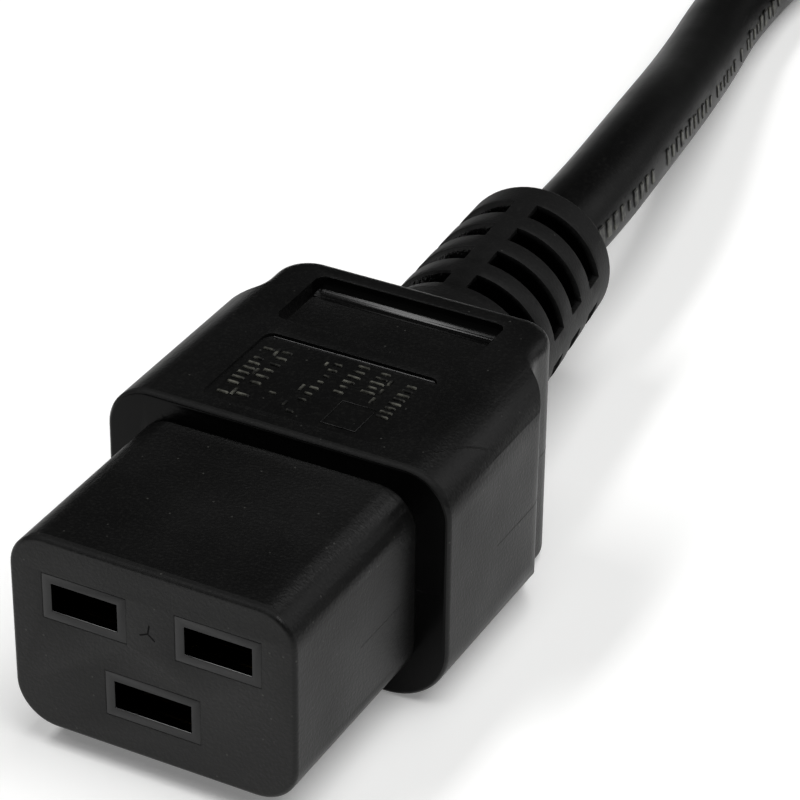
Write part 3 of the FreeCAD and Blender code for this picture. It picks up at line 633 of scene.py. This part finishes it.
for name, stretch in (("lead_ticks", along_lead[:first_in_coil + 1]),
                      ("coil_ticks", along_lead[first_in_coil:])):
    followed = bpy.data.meshes.new(name)
    followed.from_pydata(stretch, [(i, i + 1) for i in range(len(stretch) - 1)], [])
    marks = new_object(name, followed)
    into_plain_mesh(marks, tree, {
        "Reach": cord_radius - sunk_in * MM, "Lean": math.radians(-7), "Pitch": 1.9 * MM,
        "Tick Height": 2.1 * MM, "Narrowest": 0.35 * MM, "Widest": 1.4 * MM, "Proud": 0.09 * MM,
        "Shortest": 0.5, "Filled": 0.85, "Seed": 11, "Finish": rubbed_and_highlit_pvc})
    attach(marks, "root")


# --- Coil tie ---
# A woven nylon strap with hooks on one end and loops on the other, wrapped once round the coil. Its
# free end lies on top and is sewn to a loop with two rows of polyester thread.

# Woven nylon: dull black with the soft sheen of its fibres. The nap is 0.4 mm across and rises and
# falls in slanting bands 5 mm apart: a diagonal wave's bands lie 0.363 of 1 / Scale from each other
strap, tree, shader, place = new_material("woven_nylon_strap", "#151516", 0.8)
slant = add_node(tree, "ShaderNodeTexWave", {"Vector": place, "Scale": 1 / (14 * MM)},
                 bands_direction="DIAGONAL")
nap = add_node(tree, "ShaderNodeTexNoise", {"Vector": place, "Scale": 1 / (0.4 * MM), "Detail": 3})
both = add_node(tree, "ShaderNodeMath", {0: slant.outputs["Fac"], 1: nap.outputs["Fac"]}, operation="MULTIPLY")
cloth = add_node(tree, "ShaderNodeBump", {"Height": both.outputs[0], "Strength": 0.8, "Distance": 0.2 * MM})
tree.links.new(cloth.outputs[0], shader.inputs["Normal"])
tone = add_node(tree, "ShaderNodeMix", {
    "Factor": nap.outputs["Fac"], "A": colour("#0C0C0D"), "B": colour("#242425")}, data_type="RGBA")
tree.links.new(tone.outputs["Result"], shader.inputs["Base Color"])
shader.inputs["Sheen Weight"].default_value = 0.3
dress("coil_tie", strap)

# The free end starts as the outer face of the strap's top. Planes cut that out of the strap, and
# what faces the bundle's middle goes
end_half_width = 5.8 * MM
end_thickness = 0.8 * MM
end_far_side, end_lowest = 240.4, 9.5
least_outward = 0.2 * MM
bundle_middle = coil_centre + Vector((0, 49, 8)) * MM
work = merged("coil_tie")
for point, away in ((coil_centre + Vector((end_half_width, 0, 0)), (1, 0, 0)),
                    (coil_centre - Vector((end_half_width, 0, 0)), (-1, 0, 0)),
                    (Vector((0, end_far_side, 0)) * MM, (0, 1, 0)),
                    (Vector((0, 0, end_lowest)) * MM, (0, 0, -1))):
    bmesh.ops.bisect_plane(work, geom=work.verts[:] + work.edges[:] + work.faces[:], plane_co=point,
                           plane_no=away, clear_outer=True)
within = [f for f in work.faces if (f.calc_center_median() - bundle_middle).dot(f.normal) < least_outward]
bmesh.ops.delete(work, geom=within, context="FACES")
end_mesh = bpy.data.meshes.new("tie_end")
work.to_mesh(end_mesh)
work.free()
tie_end = new_object("tie_end", end_mesh)
layer = tie_end.modifiers.new("layer", "SOLIDIFY")
layer.thickness = end_thickness
layer.offset = 1.0
tie_end.data = plain_mesh(tie_end)
tie_end.modifiers.clear()
tie_end.data.materials.clear()
tie_end.data.materials.append(strap)

# Polyester thread: black, lightly waxed and softly shining, with plies 0.25 mm across
thread, tree, shader, place = new_material("polyester_thread", "#1C1C1D", 0.55)
ply = add_node(tree, "ShaderNodeTexNoise", {"Vector": place, "Scale": 1 / (0.25 * MM), "Detail": 2})
twist = add_node(tree, "ShaderNodeBump", {"Height": ply.outputs["Fac"], "Strength": 0.5, "Distance": 0.05 * MM})
tree.links.new(twist.outputs[0], shader.inputs["Normal"])
stitch_rows, stitches_each_side, stitch_pitch = (49.5, 55.0), 3, 1.6
stitch_length, stitch_width = 1.2 * MM, 0.4 * MM
seats = []
for out_from_centre in stitch_rows:
    for i in range(-stitches_each_side, stitches_each_side + 1):
        above_it = coil_centre + Vector((stitch_pitch * i, out_from_centre, well_above)) * MM
        hit, seat, _, _ = tie_end.ray_cast(above_it, down)
        if hit:
            seats.append(seat)
stitch_points = bpy.data.meshes.new("tie_stitches")
stitch_points.from_pydata(seats, [], [])
lengths = stitch_points.attributes.new("length", "FLOAT", "POINT").data
lengths.foreach_set("value", [stitch_length] * len(seats))
tie_stitches = new_object("tie_stitches", stitch_points)
into_plain_mesh(tie_stitches, bar_tree, {
    "Bar Width": stitch_width, "Bar Height": stitch_width, "Shortest": 0.95, "Filled": 1.0, "Seed": 3,
    "Finish": thread})
for sewn in (tie_end, tie_stitches):
    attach(sewn, "root")


# --- Plug ---
# A moulded C20 plug: a shroud round three blades on a hard insert, with the same grip and strain
# relief as the connector, in the same black PVC. Its blades were stamped from brass and plated.

# Nickel-plated brass: a warm grey shine that plugging in has dulled in patches 1.5 mm across
plated, tree, shader, place = new_material("nickel_plated_brass", "#C9C5BA", 0.22, metallic=1.0)
rub = add_node(tree, "ShaderNodeTexNoise", {"Vector": place, "Scale": 1 / (1.5 * MM), "Detail": 5})
gloss = add_node(tree, "ShaderNodeMapRange", {"Value": rub.outputs["Fac"], "To Min": 0.16, "To Max": 0.32})
tree.links.new(gloss.outputs[0], shader.inputs["Roughness"])
for pole in ("line", "neutral", "earth"):
    dress("plug_" + pole + "_blade", plated)
plug_insert = skin("plug_carrier", "plug_insert", edge=0.12 * MM, finish=nylon)
plug = skin("plug_body", "plug_moulding", edge=0.12 * MM, finish=pvc)


# --- Floor, light and camera ---
# The lead lies on a broad sheet of white paper under two soft lamps, one wide and one a strip, with
# a pale card behind it that its edges mirror. The camera stands in front, above and to the right.
reach = 4.0
floor_mesh = bpy.data.meshes.new("floor")
floor_mesh.from_pydata([(-reach, -reach, 0), (reach, -reach, 0), (reach, reach, 0), (-reach, reach, 0)], [],
                       [(0, 1, 2, 3)])
floor = new_object("floor", floor_mesh)

# Matt white paper: it takes a soft shadow and has no shine. It glows a little, but only to the
# camera and in mirrors, so that it looks white and throws no more light on the lead
paper, tree, shader, place = new_material("matt_white_paper", "#F4F4F3", 0.9)
shader.inputs["Specular IOR Level"].default_value = 0.1
paper_glow = 0.19
rays = add_node(tree, "ShaderNodeLightPath").outputs
shiny = add_node(tree, "ShaderNodeMath", {0: rays["Is Glossy Ray"], 1: rays["Is Transmission Ray"]},
                 operation="MAXIMUM")
seen = add_node(tree, "ShaderNodeMath", {0: shiny.outputs[0], 1: rays["Is Camera Ray"]}, operation="MAXIMUM")
glow = add_node(tree, "ShaderNodeMath", {0: seen.outputs[0], 1: paper_glow}, operation="MULTIPLY")
shader.inputs["Emission Color"].default_value = colour("#FFFFFF")
tree.links.new(glow.outputs[0], shader.inputs["Emission Strength"])
floor_mesh.materials.append(paper)


def softbox(name, watts, width, length, where):
    """A flat lamp that hangs level at where and faces down."""
    lamp = bpy.data.lights.new(name, "AREA")
    lamp.shape = "RECTANGLE"
    lamp.energy = watts
    lamp.size = width
    lamp.size_y = length
    new_object(name, lamp).location = where


softbox("wide_lamp", watts=17.0, width=1.2, length=1.2, where=(0.5, -0.05, 1.35))
softbox("strip_lamp", watts=8.0, width=0.22, length=1.0, where=(-0.56, -0.45, 1.2))

# The room is dim overhead and paler at the horizon. The card fades in from 22 to 11 degrees off its
# middle, and shows as a pale line on the cable's edge and a sheen on what slopes towards it
room_at_horizon, room_overhead, card_light = 0.25, 0.03, 1.15
world = bpy.data.worlds.new("studio")
bpy.context.scene.world = world
world.use_nodes = True
tree = world.node_tree
towards = add_node(tree, "ShaderNodeTexCoord").outputs["Generated"]
up = add_node(tree, "ShaderNodeSeparateXYZ", {"Vector": towards})
room_light = add_node(tree, "ShaderNodeMapRange", {
    "Value": up.outputs["Z"], "From Min": 0.0, "From Max": 0.1,
    "To Min": room_at_horizon, "To Max": room_overhead})
card_middle = Vector((0.52, 0.755, 0.4)).normalized()
near_card = add_node(tree, "ShaderNodeVectorMath", {0: towards, 1: card_middle},
                     operation="DOT_PRODUCT").outputs["Value"]
card = add_node(tree, "ShaderNodeMapRange", {
    "Value": near_card, "From Min": 0.93, "From Max": 0.98, "To Max": card_light},
    interpolation_type="SMOOTHSTEP")
both = add_node(tree, "ShaderNodeMath", {0: room_light.outputs[0], 1: card.outputs[0]})
tree.links.new(both.outputs[0], tree.nodes["Background"].inputs["Color"])

camera = new_object("camera", bpy.data.cameras.new("camera"))
camera.data.lens = 154.2
camera.data.sensor_width = 36
stand = Vector((125.52, -235.93, 181.84)) * MM
aim = Vector((-1.88, 7.85, 12.1)) * MM
camera_roll = math.radians(0.69)
camera.matrix_world = (Matrix.Translation(stand) @ (aim - stand).to_track_quat("-Z", "Y").to_matrix().to_4x4()
                       @ Matrix.Rotation(camera_roll, 4, "Z"))
bpy.context.scene.camera = camera
bpy.context.scene.view_settings.view_transform = "Standard"
